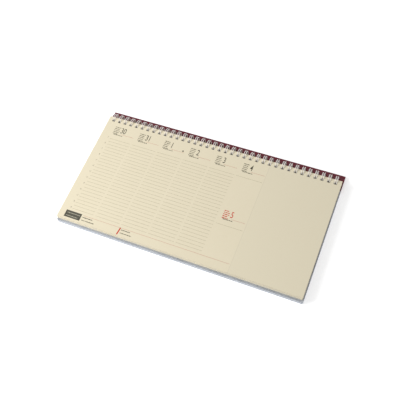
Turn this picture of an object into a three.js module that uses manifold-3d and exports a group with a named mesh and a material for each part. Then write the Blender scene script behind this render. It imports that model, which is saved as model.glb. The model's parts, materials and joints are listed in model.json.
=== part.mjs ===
import * as THREE from 'three';
import { mergeVertices } from 'three/addons/utils/BufferGeometryUtils.js';
import Module from 'manifold-3d';

// A wire-bound weekly desk calendar that lies flat, with its front cover turned underneath.
// X runs along the bound edge, +Y points from the front edge to the rings, and +Z is up.
// The origin is on the desk, under the middle of the covers.
// Lengths are in millimetres. Y is measured from the top sheet's line of holes until the end.

// Sheets
const sheetWidth = 319.5;
const sheetDepth = 158;
const sheetCornerRadius = 1;
const pageBlockHeight = 7.1;
const pageBlockSteps = 6;

// Binding holes
const holePitch = 25.4 / 3;
const holeSize = 4;
const holeInset = 4.8;
const rowEndMargin = 5;

// Wire
const wireDiameter = 0.9;
const wireSides = 5;
const ringRise = 2.8;
const arcSpacing = 2.3;
const arcSegments = 10;
const loopTipAngle = 244;
const linkCornerRadius = 0.9;
const wireSetback = 0.3;

// Covers
const boardThickness = 2;
const skinThickness = 0.8;
const coverCornerRadius = 2;
const coverSideOverhang = 1.2;
const coverFrontOverhang = 3.1;

// Strip of leatherette that carries the rings and folds under behind them
const stripHoleSize = 4.6;
const bridgeClearance = 0.6;
const rampRun = 2.7;
const rampMargin = 0.3;
const boardToRamp = 0.6;
const foldLand = 1.6;

// Gaps between pieces
const foldGap = 0.3;
const stripToPages = 0.3;

// How far a cutting body runs past what it cuts
const cutOvershoot = 1;

// Levels above the desk, from the bottom up
const frontSkinBottom = boardThickness;
const frontSkinTop = frontSkinBottom + skinThickness;
const backSkinBottom = frontSkinTop + foldGap;
const backSkinTop = backSkinBottom + skinThickness;
const bridgeBottom = backSkinBottom + wireDiameter + bridgeClearance;
const bridgeTop = bridgeBottom + skinThickness;
const backBoardBottom = backSkinTop;
const backBoardTop = backBoardBottom + boardThickness;
const pageBottom = Math.max(backBoardTop, bridgeTop + stripToPages);
const pageTop = pageBottom + pageBlockHeight;

// Rings
const ringDiameter = pageTop + ringRise - backSkinBottom;
const ringRadius = (ringDiameter - wireDiameter) / 2;
const ringCentreZ = backSkinBottom + ringDiameter / 2;
const ringCentreY = wireSetback + ringReach(pageTop);

// Row of holes
const rowRoom = sheetWidth - 2 * (holeSize / 2 + rowEndMargin);
const holeCount = 1 + Math.floor(rowRoom / holePitch);
const rowLength = (holeCount - 1) * holePitch;

// Outlines in plan
const sheetBackY = holeInset;
const sheetFrontY = sheetBackY - sheetDepth;
const coverWidth = sheetWidth + 2 * coverSideOverhang;
const coverFrontY = sheetFrontY - coverFrontOverhang;
const stripHoleOffset = ringReach((bridgeBottom + bridgeTop) / 2);
const landHalfDepth = stripHoleOffset + stripHoleSize / 2 + rampMargin;
const frontRampFootY = ringCentreY - landHalfDepth - rampRun;
const rearRampFootY = ringCentreY + landHalfDepth + rampRun;
const boardBackY = frontRampFootY - boardToRamp;
const coverBackY = rearRampFootY + foldLand;

/** Distance in Y from the ring centre to the wire at the height z. */
function ringReach(z) {
  return Math.sqrt(ringRadius ** 2 - (z - ringCentreZ) ** 2);
}

/** X of the hole with the given number, counted from the left. */
function holeX(index) {
  return index * holePitch - rowLength / 2;
}

/** Outline in plan with round front corners and a square back edge. */
function plateOutline(width, frontY, backY, cornerRadius) {
  const side = width / 2;
  const outline = new THREE.Shape();
  outline.moveTo(-side, backY);
  outline.lineTo(-side, frontY + cornerRadius);
  outline.absarc(-side + cornerRadius, frontY + cornerRadius, cornerRadius, Math.PI, 1.5 * Math.PI);
  outline.lineTo(side - cornerRadius, frontY);
  outline.absarc(side - cornerRadius, frontY + cornerRadius, cornerRadius, -0.5 * Math.PI, 0);
  outline.lineTo(side, backY);
  outline.closePath();
  return outline;
}

/** Flat plate between two heights. */
function plateGeometry(outline, bottom, top) {
  const geometry = new THREE.ExtrudeGeometry(outline, {
    depth: top - bottom,
    bevelEnabled: false,
    curveSegments: 6,
  });
  geometry.translate(0, 0, bottom);
  return geometry;
}

/** Closed solid for joining and cutting. */
function toSolid(wasm, geometry) {
  const bare = geometry.clone();
  bare.deleteAttribute('normal');
  bare.deleteAttribute('uv');
  const merged = mergeVertices(bare, 1e-5);
  return new wasm.Manifold(new wasm.Mesh({
    numProp: 3,
    vertProperties: new Float32Array(merged.attributes.position.array),
    triVerts: new Uint32Array(merged.index.array),
  }));
}

/** Geometry of a solid. */
function fromSolid(solid) {
  const mesh = solid.getMesh();
  const geometry = new THREE.BufferGeometry();
  geometry.setAttribute('position', new THREE.BufferAttribute(mesh.vertProperties, 3));
  geometry.setIndex(new THREE.BufferAttribute(mesh.triVerts, 1));
  geometry.computeVertexNormals();
  return geometry;
}

/** How far a layer at the height z lies in Y from the top sheet, as it follows the rings. */
function layerShift(z) {
  return ringReach(pageTop) - ringReach(z);
}

/** Turns a section in Y and Z into a bar along X, centred on the given X. */
function barAlongX(section, length, centreX) {
  const bar = new THREE.ExtrudeGeometry(section, { depth: length, bevelEnabled: false });
  bar.translate(0, 0, centreX - length / 2);
  bar.applyMatrix4(new THREE.Matrix4().makeBasis(
    new THREE.Vector3(0, 1, 0),
    new THREE.Vector3(0, 0, 1),
    new THREE.Vector3(1, 0, 0),
  ));
  return bar;
}

/** Section of the stacked layers in Y and Z, carried on past both faces by an overshoot. */
function layeredSection(frontY, backY, overshoot) {
  const front = [];
  const back = [];
  for (let step = 0; step <= pageBlockSteps; step += 1) {
    const z = pageBottom + (pageBlockHeight * step) / pageBlockSteps;
    front.push(new THREE.Vector2(frontY + layerShift(z), z));
    back.push(new THREE.Vector2(backY + layerShift(z), z));
  }
  if (overshoot > 0) {
    for (const side of [front, back]) {
      side.unshift(new THREE.Vector2(side[0].x, pageBottom - overshoot));
      side.push(new THREE.Vector2(side[side.length - 1].x, pageTop + overshoot));
    }
  }
  return new THREE.Shape([...front.reverse(), ...back]);
}

/** The stack of punched sheets, whose layers follow the curve of the rings. */
function pageBlockGeometry(wasm) {
  const stack = barAlongX(layeredSection(sheetFrontY, sheetBackY, 0), sheetWidth, 0);
  const bulge = layerShift(ringCentreZ);
  const outline = plateOutline(
    sheetWidth + 2 * cutOvershoot,
    sheetFrontY + bulge - cutOvershoot,
    sheetBackY + cutOvershoot,
    sheetCornerRadius + cutOvershoot,
  );
  const planPlate = plateGeometry(outline, pageBottom - cutOvershoot, pageTop + cutOvershoot);
  let solid = toSolid(wasm, stack).intersect(toSolid(wasm, planPlate));
  const holeSection = layeredSection(-holeSize / 2, holeSize / 2, cutOvershoot);
  for (let index = 0; index < holeCount; index += 1) {
    const cutter = barAlongX(holeSection, holeSize, holeX(index));
    solid = solid.subtract(toSolid(wasm, cutter));
  }
  return fromSolid(solid);
}

/** Section of the back skin in Y and Z: flat, up over the wire, down again and flat. */
function backSkinSection() {
  const landFrontY = frontRampFootY + rampRun;
  const landRearY = rearRampFootY - rampRun;
  const line = [
    [coverFrontY, 0],
    [frontRampFootY, 0],
    [landFrontY, bridgeBottom - backSkinBottom],
    [landRearY, bridgeBottom - backSkinBottom],
    [rearRampFootY, 0],
    [coverBackY, 0],
  ];
  const lower = line.map(([y, rise]) => new THREE.Vector2(y, backSkinBottom + rise));
  const upper = line.map(([y, rise]) => new THREE.Vector2(y, backSkinTop + rise));
  return new THREE.Shape([...lower, ...upper.reverse()]);
}

/** Leatherette of the back cover with two rows of holes, where the loops dip under the strip. */
function backSkinGeometry(wasm) {
  const strip = barAlongX(backSkinSection(), coverWidth, 0);
  const outline = plateOutline(
    coverWidth,
    coverFrontY,
    coverBackY + cutOvershoot,
    coverCornerRadius,
  );
  const planBottom = backSkinBottom - cutOvershoot;
  const planPlate = plateGeometry(outline, planBottom, bridgeTop + cutOvershoot);
  let solid = toSolid(wasm, strip).intersect(toSolid(wasm, planPlate));

  const punchHeight = bridgeTop - bridgeBottom + 2 * cutOvershoot;
  const punch = new THREE.BoxGeometry(stripHoleSize, stripHoleSize, punchHeight);
  for (const rowY of [ringCentreY - stripHoleOffset, ringCentreY + stripHoleOffset]) {
    for (let index = 0; index < holeCount; index += 1) {
      const cutter = punch.clone();
      cutter.translate(holeX(index), rowY, (bridgeBottom + bridgeTop) / 2);
      solid = solid.subtract(toSolid(wasm, cutter));
    }
  }
  return fromSolid(solid);
}

/** Point of the wire's centre line on the ring cylinder, at an angle from +Y towards +Z. */
function ringPoint(x, angle) {
  return new THREE.Vector3(
    x,
    ringCentreY + ringRadius * Math.cos(angle),
    ringCentreZ + ringRadius * Math.sin(angle),
  );
}

/** Stations of one twin loop: a link corner, an arc, the round tip, an arc and a link corner. */
function loopStations(centreX, isFirst, isLast) {
  const halfSpacing = arcSpacing / 2;
  const bottomAngle = -Math.PI / 2;
  const corner = linkCornerRadius / ringRadius;
  const tipAngle = THREE.MathUtils.degToRad(loopTipAngle);
  const arcStart = bottomAngle + corner;
  const arcEnd = tipAngle - halfSpacing / ringRadius;

  const half = [];
  const cornerX = halfSpacing + linkCornerRadius;
  half.push([cornerX, bottomAngle]);
  half.push([cornerX - linkCornerRadius * Math.SQRT1_2, bottomAngle + corner * (1 - Math.SQRT1_2)]);
  for (let step = 0; step <= arcSegments; step += 1) {
    half.push([halfSpacing, arcStart + ((arcEnd - arcStart) * step) / arcSegments]);
  }
  const shoulder = ((tipAngle - arcEnd) * Math.SQRT1_2);
  half.push([halfSpacing * Math.SQRT1_2, arcEnd + shoulder]);

  const rising = half.map(([offset, angle]) => ringPoint(centreX - offset, angle));
  const falling = half.map(([offset, angle]) => ringPoint(centreX + offset, angle)).reverse();
  if (isFirst) {
    rising.splice(0, 2);
  }
  if (isLast) {
    falling.splice(-2, 2);
  }
  return [...rising, ringPoint(centreX, tipAngle), ...falling];
}

/** Centre line of the whole wire, sampled at its own stations. */
class WirePath extends THREE.Curve {
  constructor(stations) {
    super();
    this.stations = stations;
  }

  stationIndex(fraction) {
    return Math.round(fraction * (this.stations.length - 1));
  }

  getPointAt(fraction, target = new THREE.Vector3()) {
    return target.copy(this.stations[this.stationIndex(fraction)]);
  }

  getTangentAt(fraction, target = new THREE.Vector3()) {
    const index = this.stationIndex(fraction);
    const before = this.stations[Math.max(index - 1, 0)];
    const after = this.stations[Math.min(index + 1, this.stations.length - 1)];
    return target.copy(after).sub(before).normalize();
  }

  getPoint(fraction, target) {
    return this.getPointAt(fraction, target);
  }
}

/** The twin-loop wire: one piece from the first loop to the last. */
function wireGeometry() {
  const stations = [];
  for (let index = 0; index < holeCount; index += 1) {
    stations.push(...loopStations(holeX(index), index === 0, index === holeCount - 1));
  }
  const section = new THREE.Shape();
  for (let side = 0; side < wireSides; side += 1) {
    const angle = (side / wireSides) * 2 * Math.PI;
    const x = (wireDiameter / 2) * Math.cos(angle);
    const y = (wireDiameter / 2) * Math.sin(angle);
    if (side === 0) {
      section.moveTo(x, y);
    } else {
      section.lineTo(x, y);
    }
  }
  section.closePath();
  return new THREE.ExtrudeGeometry(section, {
    steps: stations.length - 1,
    extrudePath: new WirePath(stations),
  });
}

/** Named mesh with its own material. */
function piece(name, geometry, color, roughness, metalness) {
  const material = new THREE.MeshStandardMaterial({ color, roughness, metalness });
  const mesh = new THREE.Mesh(geometry, material);
  mesh.name = name;
  return mesh;
}

/** The whole calendar, with the origin moved under the middle of the covers. */
async function buildCalendar() {
  const wasm = await Module();
  wasm.setup();

  const boardOutline = plateOutline(coverWidth, coverFrontY, boardBackY, coverCornerRadius);
  const skinOutline = plateOutline(coverWidth, coverFrontY, coverBackY, coverCornerRadius);

  const frontBoard = plateGeometry(boardOutline, 0, boardThickness);
  const frontSkin = plateGeometry(skinOutline, frontSkinBottom, frontSkinTop);
  const backBoard = plateGeometry(boardOutline, backBoardBottom, backBoardTop);

  const calendar = new THREE.Group();
  calendar.add(piece('front_board', frontBoard, 0x8e9398, 0.85, 0));
  calendar.add(piece('front_cover_skin', frontSkin, 0x5a232d, 0.6, 0));
  calendar.add(piece('back_cover_skin', backSkinGeometry(wasm), 0x5a232d, 0.6, 0));
  calendar.add(piece('back_board', backBoard, 0x8e9398, 0.85, 0));
  calendar.add(piece('page_block', pageBlockGeometry(wasm), 0xe9dfc3, 0.8, 0));
  calendar.add(piece('wire_binding', wireGeometry(), 0xe8e6e2, 0.35, 0.2));
  calendar.position.y = -(coverFrontY + coverBackY) / 2;
  return calendar;
}

export default await buildCalendar();
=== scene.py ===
import json
import logging
import math
import random
from dataclasses import dataclass, field
from enum import Enum
from functools import cached_property

import bmesh
import bpy
from mathutils import Euler, Matrix, Vector


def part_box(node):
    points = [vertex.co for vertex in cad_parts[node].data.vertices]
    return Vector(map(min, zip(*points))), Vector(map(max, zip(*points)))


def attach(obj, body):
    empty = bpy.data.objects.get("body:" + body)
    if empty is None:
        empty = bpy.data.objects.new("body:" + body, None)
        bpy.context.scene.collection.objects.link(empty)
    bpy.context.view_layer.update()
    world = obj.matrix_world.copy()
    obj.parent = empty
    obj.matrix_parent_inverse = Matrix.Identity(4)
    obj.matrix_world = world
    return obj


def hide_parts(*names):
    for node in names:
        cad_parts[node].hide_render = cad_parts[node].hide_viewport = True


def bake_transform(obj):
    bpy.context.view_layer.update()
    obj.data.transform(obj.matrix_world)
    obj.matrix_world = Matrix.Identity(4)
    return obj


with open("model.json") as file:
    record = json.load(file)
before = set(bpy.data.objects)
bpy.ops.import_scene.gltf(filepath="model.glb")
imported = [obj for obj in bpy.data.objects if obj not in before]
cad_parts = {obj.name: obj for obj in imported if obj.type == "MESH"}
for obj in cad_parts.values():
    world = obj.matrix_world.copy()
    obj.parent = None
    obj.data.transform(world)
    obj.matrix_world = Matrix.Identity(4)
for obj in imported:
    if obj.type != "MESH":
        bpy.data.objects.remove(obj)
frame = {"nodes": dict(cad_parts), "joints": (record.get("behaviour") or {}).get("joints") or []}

LOG = logging.getLogger("desk_calendar")
MM = 0.001
WELD_DISTANCE = 1e-7


class Body(Enum):
    """The two bodies that the pieces ride on."""

    CALENDAR = "calendar"
    FRONT_COVER = "front_cover"


class Slot(Enum):
    """Names of the record's material slots for the scene's own pieces; nothing in the script
    assigns them.
    """

    PAPER = "paper"
    LEATHERETTE = "leatherette"
    WIRE = "wire"


@dataclass(frozen=True)
class Layout:
    """Sizes that the pieces share, in metres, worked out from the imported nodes."""

    hole_pitch: float = 25.4 / 3 * MM
    hole_size: float = 4.0 * MM
    hole_inset: float = 4.8 * MM
    wire_diameter: float = 0.9 * MM
    ring_rise: float = 2.8 * MM
    wire_setback: float = 0.3 * MM
    row_end_margin: float = 5.0 * MM

    @cached_property
    def page_low(self) -> Vector:
        """Lowest corner of the stack of sheets."""
        return Vector(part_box("page_block")[0])

    @cached_property
    def page_high(self) -> Vector:
        """Highest corner of the stack of sheets."""
        return Vector(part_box("page_block")[1])

    @cached_property
    def strip_bottom(self) -> float:
        """Height of the underside of the back cover's leatherette."""
        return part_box("back_cover_skin")[0][2]

    @cached_property
    def sheet_width(self) -> float:
        """Width of a sheet along the bound edge."""
        return self.page_high.x - self.page_low.x

    @cached_property
    def hole_count(self) -> int:
        """Number of holes along the bound edge."""
        room = self.sheet_width - 2 * (self.hole_size / 2 + self.row_end_margin)
        return 1 + int(room / self.hole_pitch)

    @cached_property
    def first_hole_x(self) -> float:
        """X of the first hole from the left."""
        return -(self.hole_count - 1) * self.hole_pitch / 2

    @cached_property
    def hole_line(self) -> float:
        """Y of the top sheet's line of holes."""
        return self.page_high.y - self.hole_inset

    @cached_property
    def ring_radius(self) -> float:
        """Radius of the rings at the middle of the wire."""
        height = self.page_high.z + self.ring_rise - self.strip_bottom
        return (height - self.wire_diameter) / 2

    @cached_property
    def ring_z(self) -> float:
        """Height of the rings' centre line."""
        return self.strip_bottom + self.wire_diameter / 2 + self.ring_radius

    @cached_property
    def ring_y(self) -> float:
        """Y of the rings' centre line."""
        return self.hole_line + self.wire_setback + self.reach(self.page_high.z)

    def reach(self, z: float) -> float:
        """Distance in Y from the rings' centre line to the wire at a height.

        Args:
            z: The height above the desk.

        Returns:
            The distance, never negative.
        """
        return math.sqrt(max(self.ring_radius**2 - (z - self.ring_z) ** 2, 0.0))

    def layer_shift(self, z: float) -> float:
        """How far in Y a layer lies from the top sheet, as it follows the rings.

        Args:
            z: The height of the layer.

        Returns:
            The shift, negative towards the front edge.
        """
        return self.reach(self.page_high.z) - self.reach(z)


class Term:
    """A shader socket with Python's arithmetic."""

    def __init__(self, graph: "Graph", socket: bpy.types.NodeSocket) -> None:
        """Keeps the socket and the graph that it belongs to."""
        self.graph = graph
        self.socket = socket

    def _math(self, operation: str, first: object, second: object) -> "Term":
        """Adds a Math node and returns its result."""
        node = self.graph.node(
            "ShaderNodeMath", {"operation": operation}, {0: first, 1: second}
        )
        return Term(self.graph, node.outputs[0])

    def __add__(self, other: object) -> "Term":
        """Sum of two terms."""
        return self._math("ADD", self, other)

    __radd__ = __add__

    def __sub__(self, other: object) -> "Term":
        """This term less the other."""
        return self._math("SUBTRACT", self, other)

    def __rsub__(self, other: object) -> "Term":
        """The other less this term."""
        return self._math("SUBTRACT", other, self)

    def __mul__(self, other: object) -> "Term":
        """Product of two terms."""
        return self._math("MULTIPLY", self, other)

    __rmul__ = __mul__

    def greater(self, other: object) -> "Term":
        """1 where this term is larger than the other, and 0 elsewhere."""
        return self._math("GREATER_THAN", self, other)

    def size(self) -> "Term":
        """This term without its sign."""
        return self._math("ABSOLUTE", self, 0.0)

    def ramp(self, low: float, high: float) -> "Term":
        """Rises smoothly from 0 at low to 1 at high.

        Args:
            low: The value where the rise starts.
            high: The value where it ends.

        Returns:
            The smooth mask.
        """
        node = self.graph.node(
            "ShaderNodeMapRange",
            {"interpolation_type": "SMOOTHSTEP"},
            {"Value": self, "From Min": low, "From Max": high},
        )
        return Term(self.graph, node.outputs["Result"])


class Graph:
    """The node tree of one material, with short ways to add nodes."""

    def __init__(self, name: str) -> None:
        """Makes a material of that name with an empty node tree."""
        self.material = bpy.data.materials.new(name)
        self.material.use_nodes = True
        self.tree = self.material.node_tree
        self.tree.nodes.clear()

    def node(self, kind: str, settings: dict, inputs: dict) -> bpy.types.Node:
        """Adds any node.

        Args:
            kind: The node's type.
            settings: Its own settings, such as a Math node's operation.
            inputs: Values or terms for its sockets, by name or number.

        Returns:
            The node.
        """
        node = self.tree.nodes.new(kind)
        for key, value in settings.items():
            setattr(node, key, value)
        for key, value in inputs.items():
            self.feed(node.inputs[key], value)
        return node

    def feed(self, socket: bpy.types.NodeSocket, value: object) -> None:
        """Links a term to a socket, or sets the socket's own value."""
        if isinstance(value, Term):
            self.tree.links.new(value.socket, socket)
        else:
            socket.default_value = value

    def place(self) -> Term:
        """Object coordinates, in metres."""
        node = self.node("ShaderNodeTexCoord", {}, {})
        return Term(self, node.outputs["Object"])

    def axes(self, vector: Term) -> tuple[Term, Term, Term]:
        """The X, Y and Z of a vector."""
        node = self.node("ShaderNodeSeparateXYZ", {}, {0: vector})
        return tuple(Term(self, output) for output in node.outputs)

    def facing_up(self) -> Term:
        """1 where the surface faces up or down, and 0 on upright edges.

        The direction is the world's, so on a body that a pose has turned it picks the wrong
        faces. It is right at rest.
        """
        steepest = 0.5
        node = self.node("ShaderNodeNewGeometry", {}, {})
        upward = self.axes(Term(self, node.outputs["Normal"]))[2]
        return upward.size().greater(steepest)

    def stretched(self, vector: Term, scale: tuple[float, float, float]) -> Term:
        """Coordinates scaled along each axis."""
        node = self.node("ShaderNodeMapping", {}, {"Vector": vector, "Scale": scale})
        return Term(self, node.outputs["Vector"])

    def noise(self, vector: Term, scale: float, detail: float) -> Term:
        """Smooth noise from 0 to 1.

        Args:
            vector: The coordinates that it is read at.
            scale: Features per metre.
            detail: Octaves of finer noise.

        Returns:
            The noise's value.
        """
        node = self.node(
            "ShaderNodeTexNoise", {}, {"Vector": vector, "Scale": scale, "Detail": detail}
        )
        return Term(self, node.outputs[0])

    def cells(self, vector: Term, scale: float) -> Term:
        """Distance to the nearest of scattered points, for a pebbled grain."""
        node = self.node("ShaderNodeTexVoronoi", {}, {"Vector": vector, "Scale": scale})
        return Term(self, node.outputs["Distance"])

    def blend(self, mask: Term, first: object, second: object) -> Term:
        """Colour that goes from the first at mask 0 to the second at mask 1.

        Args:
            mask: The share of the second colour.
            first: A colour or a term.
            second: A colour or a term.

        Returns:
            The mixed colour.
        """
        node = self.node("ShaderNodeMix", {"data_type": "RGBA"}, {})
        colours = [socket for socket in node.inputs if socket.type == "RGBA"]
        self.feed(node.inputs[0], mask)
        self.feed(colours[0], first)
        self.feed(colours[1], second)
        result = [socket for socket in node.outputs if socket.type == "RGBA"][0]
        return Term(self, result)

    def relief(self, height: Term, depth: float, strength: float) -> Term:
        """Bump from a height.

        Args:
            height: The height as a share of the depth.
            depth: The real depth in metres.
            strength: How much of it shows.

        Returns:
            The bumped normal.
        """
        node = self.node(
            "ShaderNodeBump", {}, {"Height": height, "Distance": depth, "Strength": strength}
        )
        return Term(self, node.outputs["Normal"])

    def surface(self, **sockets: object) -> bpy.types.Material:
        """Closes the material with a Principled shader.

        Args:
            sockets: The shader's sockets, with underscores for spaces.

        Returns:
            The finished material.
        """
        inputs = {key.replace("_", " "): value for key, value in sockets.items()}
        shader = self.node("ShaderNodeBsdfPrincipled", {}, inputs)
        output = self.node("ShaderNodeOutputMaterial", {}, {})
        self.tree.links.new(shader.outputs[0], output.inputs["Surface"])
        return self.material


def tone(red: int, green: int, blue: int) -> tuple[float, float, float, float]:
    """Linear colour from a display colour of 0 to 255."""
    channels = []
    for value in (red, green, blue):
        share = value / 255
        if share <= 0.04045:
            channels.append(share / 12.92)
        else:
            channels.append(((share + 0.055) / 1.055) ** 2.4)
    return (*channels, 1.0)


@dataclass(frozen=True)
class PaperFinish:
    """Uncoated cream paper with fine fibres. Its cut edges are painted darker and greyer than
    its face, with darker stripes between the leaves, all painted shade, and a painted shade line
    runs along the crease.
    """

    light: tuple = tone(243, 233, 206)
    deep: tuple = tone(237, 226, 198)
    panel: tuple = tone(235, 226, 200)
    # The two edge colours are darker, greyer copies of the paper: painted shade on the cut
    # edges.
    edge_painted_pale_shade: tuple = tone(222, 217, 201)
    edge_painted_shade: tuple = tone(164, 161, 150)
    fibre_scale: float = 420.0
    mottling_scale: float = 28.0
    leaf_scale: tuple = (14.0, 14.0, 9000.0)
    panel_share: float = 0.55
    crease_width: float = 0.45 * MM
    crease_painted_shade_share: float = 0.22

    def make(self, crease_x: float) -> bpy.types.Material:
        """Builds the material.

        Args:
            crease_x: X of the fold line that parts the week from the notes panel.

        Returns:
            The paper.
        """
        graph = Graph("cream_paper")
        place = graph.place()
        across = graph.axes(place)[0]
        fibres = graph.noise(place, self.fibre_scale, 6.0)
        mottling = graph.noise(place, self.mottling_scale, 2.0)
        flat = graph.blend(fibres * 0.6 + mottling * 0.4, self.light, self.deep)
        beyond = (across - crease_x).ramp(-0.4 * MM, 0.6 * MM)
        flat = graph.blend(beyond * self.panel_share, flat, self.panel)
        # A thin darker line along the crease: painted shade.
        line = 1.0 - (across - crease_x).size().ramp(0.0, self.crease_width)
        flat = graph.blend(line * self.crease_painted_shade_share, flat, self.edge_painted_shade)
        # Stripes along the cut edges: painted shade between the leaves, on top of the painted
        # shade of the edges.
        leaf_shade_stripes = graph.noise(graph.stretched(place, self.leaf_scale), 1.0, 2.0)
        edge = graph.blend(leaf_shade_stripes.ramp(0.3, 0.7), self.edge_painted_shade, self.edge_painted_pale_shade)
        colour = graph.blend(graph.facing_up(), edge, flat)
        return graph.surface(
            Base_Color=colour,
            Roughness=0.78 + fibres * 0.12,
            Specular_IOR_Level=0.25,
            Normal=graph.relief(fibres, 0.05 * MM, 0.35),
        )


@dataclass(frozen=True)
class InkFinish:
    """Printing ink whose density varies a little with the paper's fibres."""

    name: str
    full: tuple
    thin: tuple
    density_scale: float = 900.0

    def make(self) -> bpy.types.Material:
        """Builds the ink."""
        graph = Graph(self.name)
        density = graph.noise(graph.place(), self.density_scale, 4.0)
        return graph.surface(
            Base_Color=graph.blend(density.ramp(0.35, 0.75), self.full, self.thin),
            Roughness=0.6 + density * 0.2,
            Specular_IOR_Level=0.3,
        )


@dataclass(frozen=True)
class BoardFinish:
    """Solid grey board: flecked faces and layered cut edges."""

    base: tuple = tone(190, 194, 201)
    fleck: tuple = tone(160, 164, 171)
    edge: tuple = tone(188, 193, 201)
    fleck_scale: float = 700.0
    cloud_scale: float = 45.0
    ply_scale: tuple = (60.0, 60.0, 2600.0)

    def make(self) -> bpy.types.Material:
        """Builds the board."""
        graph = Graph("grey_board")
        place = graph.place()
        flecks = graph.noise(place, self.fleck_scale, 8.0)
        clouds = graph.noise(place, self.cloud_scale, 2.0)
        spots = (flecks * 0.7 + clouds * 0.3).ramp(0.4, 0.66)
        face = graph.blend(spots, self.base, self.fleck)
        plies = graph.noise(graph.stretched(place, self.ply_scale), 1.0, 3.0)
        side = graph.blend(plies.ramp(0.35, 0.9), self.edge, self.base)
        return graph.surface(
            Base_Color=graph.blend(graph.facing_up(), side, face),
            Roughness=0.8 + flecks * 0.15,
            Specular_IOR_Level=0.2,
            Normal=graph.relief(flecks, 0.08 * MM, 0.5),
        )


@dataclass(frozen=True)
class LeatheretteFinish:
    """Dark red leatherette with a pebbled grain, painted darker in the grain's hollows as
    painted shade.

    Its cut edges show the grey backing near the front edge, more than backing_from before
    the middle of the calendar.
    """

    painted_shade_hollow: tuple = tone(78, 20, 32)
    ridge: tuple = tone(124, 34, 50)
    backing: tuple = tone(186, 191, 198)
    backing_from: float = 80.0 * MM
    pebble_scale: float = 1500.0
    wrinkle_scale: float = 600.0
    cloud_scale: float = 35.0

    def make(self) -> bpy.types.Material:
        """Builds the leatherette."""
        graph = Graph("dark_red_leatherette")
        place = graph.place()
        pebbles = graph.cells(place, self.pebble_scale)
        wrinkles = graph.noise(place, self.wrinkle_scale, 5.0)
        clouds = graph.noise(place, self.cloud_scale, 2.0)
        # The colour follows the grain's height: the low parts take a darker red, painted shade
        # in the hollows.
        height = pebbles * 0.6 + wrinkles * 0.4
        grain = graph.blend(height * 0.8 + clouds * 0.3, self.painted_shade_hollow, self.ridge)
        forwards = graph.axes(place)[1] * -1.0
        cut = (1.0 - graph.facing_up()) * forwards.greater(self.backing_from)
        colour = graph.blend(cut, grain, self.backing)
        return graph.surface(
            Base_Color=colour,
            Roughness=0.42 + wrinkles * 0.2,
            Specular_IOR_Level=0.45,
            Normal=graph.relief(height, 0.12 * MM, 0.6),
        )


@dataclass(frozen=True)
class WireFinish:
    """Steel wire in a white plastic coat."""

    white: tuple = tone(248, 244, 240)
    worn: tuple = tone(232, 228, 224)
    wear_scale: float = 260.0
    dimple_scale: float = 2400.0

    def make(self) -> bpy.types.Material:
        """Builds the coat."""
        graph = Graph("white_coated_wire")
        place = graph.place()
        wear = graph.noise(place, self.wear_scale, 4.0)
        dimples = graph.noise(place, self.dimple_scale, 2.0)
        return graph.surface(
            Base_Color=graph.blend(wear.ramp(0.5, 0.8), self.white, self.worn),
            Roughness=0.26 + wear * 0.14,
            Coat_Weight=0.3,
            Normal=graph.relief(dimples, 0.02 * MM, 0.3),
        )


@dataclass(frozen=True)
class FloorFinish:
    """Plain pale paper that glows faintly, for the photo's white ground."""

    pale: tuple = tone(250, 250, 250)
    shade: tuple = tone(246, 246, 247)
    cloud_scale: float = 3.0
    glow: float = 0.46

    def make(self) -> bpy.types.Material:
        """Builds the floor's material."""
        graph = Graph("pale_floor")
        clouds = graph.noise(graph.place(), self.cloud_scale, 2.0)
        return graph.surface(
            Base_Color=graph.blend(clouds, self.pale, self.shade),
            Roughness=0.9,
            Emission_Color=self.pale,
            Emission_Strength=self.glow,
        )


def finish_piece(
    mesh: bpy.types.Mesh,
    name: str,
    material: bpy.types.Material,
    smooth: bool = False,
) -> bpy.types.Object:
    """Links a mesh as an object with its material.

    Args:
        mesh: The finished mesh, in place.
        name: The piece's name.
        material: Its material.
        smooth: Whether its faces are shaded smooth.

    Returns:
        The object, at the origin.
    """
    mesh.name = name
    mesh.materials.append(material)
    for polygon in mesh.polygons:
        polygon.use_smooth = smooth
    piece = bpy.data.objects.new(name, mesh)
    bpy.context.scene.collection.objects.link(piece)
    return piece


def mesh_of(shape: bmesh.types.BMesh) -> bpy.types.Mesh:
    """Turns a bmesh into a mesh and frees it."""
    mesh = bpy.data.meshes.new("shape")
    shape.to_mesh(mesh)
    shape.free()
    return mesh


def curve_mesh(curve: bpy.types.Curve, place: Matrix) -> bpy.types.Mesh:
    """Mesh of a curve or text, with its place applied.

    Args:
        curve: The curve's data.
        place: Where it goes.

    Returns:
        The mesh.
    """
    holder = bpy.data.objects.new("curve_holder", curve)
    bpy.context.scene.collection.objects.link(holder)
    depsgraph = bpy.context.evaluated_depsgraph_get()
    mesh = bpy.data.meshes.new_from_object(holder.evaluated_get(depsgraph))
    bpy.data.objects.remove(holder)
    bpy.data.curves.remove(curve)
    mesh.transform(place)
    return mesh


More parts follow.
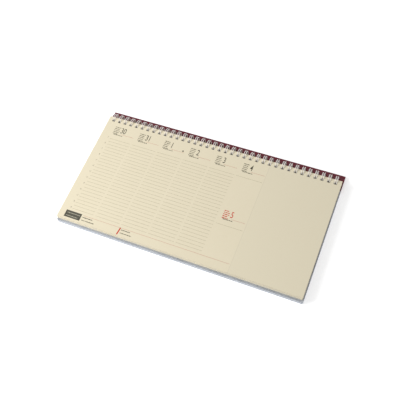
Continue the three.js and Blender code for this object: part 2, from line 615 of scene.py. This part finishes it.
@dataclass
class SheetStack:
    """The punched sheets, as thin bundles that lie a hair out of line."""

    layout: Layout
    bundles: int = 22
    slit: float = 0.018 * MM
    corner_radius: float = 1.0 * MM
    corner_steps: int = 5
    jitter: float = 0.06 * MM
    seed: int = 7

    def _outline(self) -> bmesh.types.BMesh:
        """One flat punched sheet at height 0, with round front corners."""
        layout = self.layout
        sheet = bmesh.new()
        bmesh.ops.create_grid(sheet, x_segments=1, y_segments=1, size=0.5)
        front = layout.page_low.y - layout.layer_shift(layout.ring_z)
        depth = layout.page_high.y - front
        bmesh.ops.scale(sheet, vec=(layout.sheet_width, depth, 1.0), verts=sheet.verts)
        middle = (layout.page_high.y + front) / 2
        bmesh.ops.translate(sheet, vec=(0.0, middle, 0.0), verts=sheet.verts)
        corners = [vert for vert in sheet.verts if vert.co.y < middle]
        bmesh.ops.bevel(
            sheet,
            geom=corners,
            offset=self.corner_radius,
            offset_type="OFFSET",
            affect="VERTICES",
            segments=self.corner_steps,
            profile=0.5,
            material=-1,
        )
        half = layout.hole_size / 2
        for side in (-half, half):
            self._cut(sheet, (0.0, layout.hole_line + side, 0.0), (0.0, 1.0, 0.0))
        for index in range(layout.hole_count):
            centre = layout.first_hole_x + index * layout.hole_pitch
            for side in (-half, half):
                self._cut(sheet, (centre + side, 0.0, 0.0), (1.0, 0.0, 0.0))
        punched = [face for face in sheet.faces if self._in_hole(face)]
        bmesh.ops.delete(sheet, geom=punched, context="FACES")
        return sheet

    @staticmethod
    def _cut(sheet: bmesh.types.BMesh, point: tuple, normal: tuple) -> None:
        """Cuts the whole sheet along a plane."""
        geometry = [*sheet.verts, *sheet.edges, *sheet.faces]
        bmesh.ops.bisect_plane(sheet, geom=geometry, plane_co=point, plane_no=normal)

    def _in_hole(self, face: bmesh.types.BMFace) -> bool:
        """Whether a face lies in one of the holes."""
        layout = self.layout
        centre = face.calc_center_median()
        steps = round((centre.x - layout.first_hole_x) / layout.hole_pitch)
        beside = abs(centre.x - layout.first_hole_x - steps * layout.hole_pitch)
        within = abs(centre.y - layout.hole_line) < layout.hole_size / 2
        return within and beside < layout.hole_size / 2 and 0 <= steps < layout.hole_count

    def build(self, paper: bpy.types.Material) -> bpy.types.Object:
        """Stacks the bundles and puts them in the page block's place."""
        layout = self.layout
        pitch = (layout.page_high.z - layout.page_low.z) / self.bundles
        sheet = self._outline()
        raised = bmesh.ops.extrude_face_region(sheet, geom=list(sheet.faces))
        lifted = [item for item in raised["geom"] if isinstance(item, bmesh.types.BMVert)]
        bmesh.ops.translate(sheet, vec=(0.0, 0.0, pitch - self.slit), verts=lifted)
        bmesh.ops.recalc_face_normals(sheet, faces=sheet.faces)
        slab = mesh_of(sheet)
        draw = random.Random(self.seed)
        stack = bmesh.new()
        for index in range(self.bundles):
            before = len(stack.verts)
            stack.from_mesh(slab)
            stack.verts.ensure_lookup_table()
            bottom = layout.page_low.z + index * pitch + self.slit
            place = (0.0, 0.0, bottom)
            if index < self.bundles - 1:
                slide = draw.uniform(-self.jitter, self.jitter)
                push = draw.uniform(-self.jitter, self.jitter)
                place = (slide, layout.layer_shift(bottom + pitch / 2) + push, bottom)
            bmesh.ops.translate(stack, vec=place, verts=stack.verts[before:])
        bpy.data.meshes.remove(slab)
        piece = finish_piece(mesh_of(stack), "sheet_stack", paper)
        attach(piece, Body.CALENDAR.value)
        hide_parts("page_block")
        return piece


@dataclass
class TwinLoopWire:
    """One wire bent into twin loops, joined below by straight links."""

    layout: Layout
    arc_spacing: float = 2.3 * MM
    link_corner: float = 0.9 * MM
    tip_angle: float = math.radians(244)
    arc_steps: int = 28
    corner_steps: int = 4
    tip_steps: int = 8
    roundness: int = 2

    def _half_loop(self) -> list[tuple[float, float]]:
        """Offset from the loop's middle and ring angle, from a link to the round tip."""
        spacing = self.arc_spacing / 2
        radius = self.layout.ring_radius
        bottom = -math.pi / 2
        turn = self.link_corner / radius
        path = []
        for step in range(self.corner_steps):
            angle = math.pi / 2 * step / self.corner_steps
            offset = spacing + self.link_corner * (1 - math.sin(angle))
            path.append((offset, bottom + turn * (1 - math.cos(angle))))
        start = bottom + turn
        end = self.tip_angle - spacing / radius
        for step in range(self.arc_steps + 1):
            path.append((spacing, start + (end - start) * step / self.arc_steps))
        for step in range(1, self.tip_steps // 2):
            angle = math.pi * step / self.tip_steps
            path.append((spacing * math.cos(angle), end + spacing / radius * math.sin(angle)))
        return path

    def _points(self) -> list[Vector]:
        """Middle line of the whole wire."""
        layout = self.layout
        half = self._half_loop()
        line = []
        for index in range(layout.hole_count):
            centre = layout.first_hole_x + index * layout.hole_pitch
            rising = [(centre - offset, angle) for offset, angle in half]
            falling = [(centre + offset, angle) for offset, angle in reversed(half)]
            if index == 0:
                rising = rising[self.corner_steps :]
            if index == layout.hole_count - 1:
                falling = falling[: -self.corner_steps]
            line += [*rising, (centre, self.tip_angle), *falling]
        points = []
        for x, angle in line:
            y = layout.ring_y + layout.ring_radius * math.cos(angle)
            z = layout.ring_z + layout.ring_radius * math.sin(angle)
            points.append(Vector((x, y, z)))
        return points

    def build(self, coat: bpy.types.Material) -> bpy.types.Object:
        """Bends the wire in the place of the plain one."""
        points = self._points()
        curve = bpy.data.curves.new("wire_path", "CURVE")
        curve.dimensions = "3D"
        curve.bevel_depth = self.layout.wire_diameter / 2
        curve.bevel_resolution = self.roundness
        curve.use_fill_caps = True
        spline = curve.splines.new("POLY")
        spline.points.add(len(points) - 1)
        for knot, point in zip(spline.points, points):
            knot.co = (*point, 1.0)
        mesh = curve_mesh(curve, Matrix.Identity(4))
        piece = finish_piece(mesh, "twin_loop_wire", coat, smooth=True)
        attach(piece, Body.CALENDAR.value)
        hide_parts("wire_binding")
        return piece


@dataclass
class CoverFold:
    """The bend that joins the two skins behind the rings."""

    steps: int = 12

    def build(self, leatherette: bpy.types.Material) -> bpy.types.Object:
        """Sweeps the skin's thickness round the fold line."""
        lower_low, lower_high = (Vector(corner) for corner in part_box("front_cover_skin"))
        joint = next(item for item in frame["joints"] if item["name"] == "front_cover_turn")
        axis = Vector(joint["pos_m"])
        width = lower_high.x - lower_low.x
        thickness = lower_high.z - lower_low.z
        land = axis.y - lower_high.y
        bend = bmesh.new()
        bmesh.ops.create_grid(bend, x_segments=1, y_segments=1, size=0.5)
        bmesh.ops.scale(bend, vec=(width, thickness, 1.0), verts=bend.verts)
        upright = Matrix.Rotation(math.pi / 2, 3, "X")
        bmesh.ops.rotate(bend, cent=(0.0, 0.0, 0.0), matrix=upright, verts=bend.verts)
        start = (0.0, lower_high.y, (lower_low.z + lower_high.z) / 2)
        bmesh.ops.translate(bend, vec=start, verts=bend.verts)
        faces = self._pull(bend, list(bend.faces), land)
        swept = bmesh.ops.spin(
            bend,
            geom=faces,
            cent=axis,
            axis=(1.0, 0.0, 0.0),
            dvec=(0.0, 0.0, 0.0),
            angle=math.pi,
            steps=self.steps,
            use_merge=False,
            use_duplicate=False,
        )
        faces = [item for item in swept["geom_last"] if isinstance(item, bmesh.types.BMFace)]
        self._pull(bend, faces, -land)
        bmesh.ops.remove_doubles(bend, verts=bend.verts, dist=WELD_DISTANCE)
        bmesh.ops.recalc_face_normals(bend, faces=bend.faces)
        piece = finish_piece(mesh_of(bend), "cover_fold", leatherette)
        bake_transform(piece)
        return piece

    @staticmethod
    def _pull(bend: bmesh.types.BMesh, faces: list, distance: float) -> list:
        """Extrudes faces along Y and returns the faces at the end."""
        pulled = bmesh.ops.extrude_face_region(bend, geom=faces)
        moved = [item for item in pulled["geom"] if isinstance(item, bmesh.types.BMVert)]
        bmesh.ops.translate(bend, vec=(0.0, distance, 0.0), verts=moved)
        return [item for item in pulled["geom"] if isinstance(item, bmesh.types.BMFace)]


@dataclass
class InkPlate:
    """Everything printed in one ink, as very thin shapes on the top sheet.

    Places on the page are in millimetres: across from the first hole, and down from the
    line of holes.
    """

    layout: Layout
    name: str
    lift: float = 0.004 * MM
    film: float = 0.02 * MM
    disc_sides: int = 20
    shape: bmesh.types.BMesh = field(default_factory=bmesh.new)

    def _spot(self, across: float, down: float) -> Vector:
        """Point on the top sheet."""
        layout = self.layout
        x = layout.first_hole_x + across * MM
        y = layout.hole_line - down * MM
        return Vector((x, y, layout.page_high.z + self.lift))

    def bar(self, across: float, down: float, length: float, height: float) -> None:
        """Prints a bar.

        Args:
            across: Its left end.
            down: Its middle.
            length: Its length across the page.
            height: Its height down the page.
        """
        middle = self._spot(across + length / 2, down)
        size = (length * MM, height * MM, self.film)
        place = Matrix.Translation(middle) @ Matrix.Diagonal((*size, 1.0))
        bmesh.ops.create_cube(self.shape, size=1.0, matrix=place)

    def disc(self, across: float, down: float, radius: float) -> None:
        """Prints a round mark."""
        bmesh.ops.create_cone(
            self.shape,
            cap_ends=True,
            segments=self.disc_sides,
            radius1=radius * MM,
            radius2=radius * MM,
            depth=self.film,
            matrix=Matrix.Translation(self._spot(across, down)),
        )

    def words(self, across: float, down: float, length: float, draw: random.Random) -> None:
        """Prints a line of small bars that read as words from a step away.

        Args:
            across: The line's left end.
            down: The line's middle.
            length: The line's length.
            draw: The seeded source of word lengths.
        """
        letter_height = 1.05
        shortest, longest = 1.2, 3.4
        too_short = 0.4
        gap = 0.5
        start = across
        end = across + length
        while start < end:
            word = min(draw.uniform(shortest, longest), end - start)
            if word > too_short:
                self.bar(start, down, word, letter_height * draw.uniform(0.8, 1.1))
            start += word + gap

    def number(
        self,
        text: str,
        across: float,
        base: float,
        height: float,
        weight: float = 0.0,
        slant: float = 0.0,
    ) -> None:
        """Prints a plain number.

        Args:
            text: The digits.
            across: The left end.
            base: The foot of the digits.
            height: Their height.
            weight: How much their strokes are thickened on each side.
            slant: Their lean to the right.
        """
        digit_share = 0.72
        narrow = 0.66
        curve = bpy.data.curves.new("digits", "FONT")
        curve.body = text
        curve.size = height / digit_share * MM
        curve.extrude = self.film / 2
        curve.offset = weight * MM
        lean = Matrix.Identity(4)
        lean[0][1] = slant
        squeeze = Matrix.Diagonal((narrow, 1.0, 1.0, 1.0))
        place = Matrix.Translation(self._spot(across, base)) @ lean @ squeeze
        mesh = curve_mesh(curve, place)
        self.shape.from_mesh(mesh)
        bpy.data.meshes.remove(mesh)

    def build(self, ink: bpy.types.Material) -> bpy.types.Object:
        """Finishes the plate as one piece."""
        bmesh.ops.remove_doubles(self.shape, verts=self.shape.verts, dist=WELD_DISTANCE)
        piece = finish_piece(mesh_of(self.shape), self.name, ink)
        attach(piece, Body.CALENDAR.value)
        return piece


@dataclass
class PrintedWeek:
    """The week on the top sheet: six columns of rules, numbers, small lines and a foot."""

    layout: Layout
    first_right: float = 37.4
    column_pitch: float = 36.5
    column_width: float = 34.0
    first_width: float = 30.0
    first_rule: float = 28.2
    rule_pitch: float = 4.57
    rule_count: int = 25
    ruled_columns: int = 5
    rule_height: float = 0.3
    number_height: float = 8.6
    number_foot: float = 16.4
    number_inset: float = 21.0
    sunday_drop: float = 69.6
    foot_rule: float = 142.6
    seed: int = 31

    def right_of(self, column: int) -> float:
        """Right end of a column."""
        return self.first_right + column * self.column_pitch

    def width_of(self, column: int) -> float:
        """Width of a column."""
        return self.first_width if column == 0 else self.column_width

    def _heading(
        self, plates: dict[str, InkPlate], column: int, text: str, ink: str, drop: float
    ) -> None:
        """Prints one day's number with the small lines beside and under it.

        Args:
            plates: The plates by ink.
            column: The column's number.
            text: The day's number.
            ink: The ink of the number.
            drop: How far the heading lies below the others.
        """
        draw = random.Random(self.seed + column + int(drop))
        right = self.right_of(column)
        number_left = right - self.number_inset
        foot = self.number_foot + drop
        plates[ink].number(text, number_left, foot, self.number_height, weight=0.06)
        lines_left = right - 30.2
        lines_down = (8.9, 11.4, 13.9, 16.4, 18.9)
        longest, ragged = 8.2, 2.0
        line_ink = ink if drop else "grey"
        for down in lines_down:
            length = longest - draw.uniform(0.0, ragged)
            plates[line_ink].words(lines_left, down + drop, length, draw)
        name_left = right - 28.5
        name_down, name_length = 20.4, 13.0
        plates["grey"].words(name_left, name_down + drop, name_length, draw)
        rule_left = number_left + 3.0
        rule_down = 18.3
        plates["pink"].bar(rule_left, rule_down + drop, right - rule_left, self.rule_height)

    def _rules(self, plate: InkPlate) -> None:
        """Rules the five working days and the heads of the weekend."""
        for column in range(self.ruled_columns):
            left = self.right_of(column) - self.width_of(column)
            for row in range(self.rule_count):
                down = self.first_rule + row * self.rule_pitch
                plate.bar(left, down, self.width_of(column), self.rule_height)
        weekend = self.right_of(self.ruled_columns) - self.column_width
        for drop in (0.0, self.sunday_drop):
            plate.bar(weekend, self.first_rule + drop, self.column_width, self.rule_height)

    def _hours(self, plate: InkPlate) -> None:
        """Prints plain hour numbers down the left margin, one for every second rule."""
        first_hour = 7
        hour_left = 3.6
        hour_height = 2.2
        for step in range(self.rule_count // 2 + 1):
            down = self.first_rule + 2 * step * self.rule_pitch
            plate.number(str(first_hour + step), hour_left, down, hour_height)

    def _foot(self, plates: dict[str, InkPlate]) -> None:
        """Prints the box, the small lines and the month's number under the last rule."""
        draw = random.Random(self.seed)
        end = self.right_of(self.ruled_columns)
        box_left, box_middle = 1.4, 146.3
        box_width, box_height = 22.0, 9.4
        plates["slate"].bar(box_left, box_middle, box_width, box_height)
        inside = box_left + 2.4
        plates["cream"].words(inside, 144.6, box_width - 4.0, draw)
        plates["cream"].words(inside, 148.6, box_width - 6.0, draw)
        text_left = box_left + box_width + 2.0
        plates["pink"].bar(text_left, self.foot_rule, end - text_left, self.rule_height)
        plates["dark"].words(text_left, 145.1, 14.0, draw)
        plates["grey"].words(text_left, 149.1, 17.5, draw)
        month_left, month_foot, month_height = 74.2, 151.6, 9.2
        plates["red"].number(
            "1", month_left, month_foot, month_height, weight=0.55, slant=0.12
        )
        beside = month_left + 5.0
        plates["dark"].words(beside, 144.9, 12.0, draw)
        plates["grey"].words(beside, 149.0, 15.5, draw)

    def build(self, inks: dict[str, bpy.types.Material]) -> list[bpy.types.Object]:
        """Prints the page, one piece for each ink.

        Args:
            inks: The materials by ink.

        Returns:
            The printed pieces.
        """
        plates = {ink: InkPlate(self.layout, f"print_{ink}") for ink in inks}
        plates["cream"].lift += plates["slate"].film
        for column, text in enumerate(("30", "31", "1", "2", "3", "4")):
            self._heading(plates, column, text, "dark", 0.0)
        self._heading(plates, self.ruled_columns, "5", "red", self.sunday_drop)
        self._rules(plates["rule"])
        self._hours(plates["grey"])
        self._foot(plates)
        mark_across, mark_down, mark_radius = 108.2, 16.2, 1.1
        plates["dark"].disc(mark_across, mark_down, mark_radius)
        return [plate.build(inks[ink]) for ink, plate in plates.items()]


@dataclass(frozen=True)
class SoftLight:
    """A square studio light that points at the middle of the calendar."""

    name: str
    place: tuple[float, float, float]
    side: float
    watts: float

    def hang(self) -> None:
        """Adds the light."""
        data = bpy.data.lights.new(self.name, "AREA")
        data.shape = "SQUARE"
        data.size = self.side
        data.energy = self.watts
        light = bpy.data.objects.new(self.name, data)
        light.location = self.place
        direction = -Vector(self.place)
        light.rotation_euler = direction.to_track_quat("-Z", "Y").to_euler()
        bpy.context.scene.collection.objects.link(light)


@dataclass(frozen=True)
class Studio:
    """Floor, lights, sky and camera.

    The camera's place, its turn in degrees and its lens in millimetres were solved from the
    photo's holes and sheet corners.
    """

    floor_side: float = 12.0
    sky: float = 0.51
    sky_colour: tuple = (1.0, 1.0, 1.0, 1.0)
    camera_place: tuple = (206.4 * MM, -315.8 * MM, 697.9 * MM)
    camera_turn: tuple = (27.867, 6.02, 21.94)
    lens: float = 56.8
    nearest: float = 0.01
    lights: tuple = (
        SoftLight("key_from_left", (-0.78, -0.3, 0.75), 0.5, 6.3),
        SoftLight("low_front_left", (-0.85, -0.75, 0.28), 0.35, 3.6),
    )

    def build(self) -> None:
        """Sets up everything that isn't part of the calendar."""
        scene = bpy.context.scene
        scene.view_settings.view_transform = "Standard"
        sheet = bmesh.new()
        bmesh.ops.create_grid(sheet, x_segments=8, y_segments=8, size=self.floor_side / 2)
        floor = bpy.data.objects.new("floor", mesh_of(sheet))
        floor.data.materials.append(FloorFinish().make())
        scene.collection.objects.link(floor)
        for light in self.lights:
            light.hang()
        world = bpy.data.worlds.new("studio")
        world.use_nodes = True
        background = world.node_tree.nodes["Background"]
        background.inputs["Color"].default_value = self.sky_colour
        background.inputs["Strength"].default_value = self.sky
        scene.world = world
        data = bpy.data.cameras.new("camera")
        data.lens = self.lens
        data.clip_start = self.nearest
        camera = bpy.data.objects.new("camera", data)
        camera.location = self.camera_place
        camera.rotation_euler = Euler([math.radians(angle) for angle in self.camera_turn])
        scene.collection.objects.link(camera)
        scene.camera = camera


def dress_node(name: str, material: bpy.types.Material) -> None:
    """Gives a carried-over node its finish.

    Args:
        name: The node's name.
        material: The finish.
    """
    node = frame["nodes"][name]
    node.data.materials.clear()
    node.data.materials.append(material)
    LOG.info("dressed %s", name)


def main() -> None:
    """Builds and dresses the calendar, and reports each piece."""
    logging.basicConfig(level=logging.INFO)
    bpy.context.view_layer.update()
    layout = Layout()
    Studio().build()

    notes_panel_left = 221.5 * MM
    paper = PaperFinish().make(layout.first_hole_x + notes_panel_left)
    board = BoardFinish().make()
    leatherette = LeatheretteFinish().make()
    coat = WireFinish().make()
    inks = {
        "dark": InkFinish("dark_ink", tone(78, 74, 60), tone(104, 100, 84)),
        "grey": InkFinish("grey_ink", tone(112, 108, 90), tone(138, 133, 112)),
        "rule": InkFinish("rule_ink", tone(172, 164, 134), tone(192, 184, 154)),
        "pink": InkFinish("pink_ink", tone(196, 128, 108), tone(208, 150, 130)),
        "red": InkFinish("red_ink", tone(206, 44, 22), tone(218, 66, 42)),
        "slate": InkFinish("slate_ink", tone(84, 82, 70), tone(96, 94, 82)),
        "cream": InkFinish("cream_ink", tone(176, 172, 152), tone(190, 186, 166)),
    }

    pieces = [
        SheetStack(layout).build(paper),
        TwinLoopWire(layout).build(coat),
        CoverFold().build(leatherette),
    ]
    pieces += PrintedWeek(layout).build({ink: item.make() for ink, item in inks.items()})
    for piece in pieces:
        LOG.info("built %s with %d faces", piece.name, len(piece.data.polygons))

    for name in ("front_board", "back_board"):
        dress_node(name, board)
    for name in ("front_cover_skin", "back_cover_skin"):
        dress_node(name, leatherette)


if __name__ == "__main__":
    main()
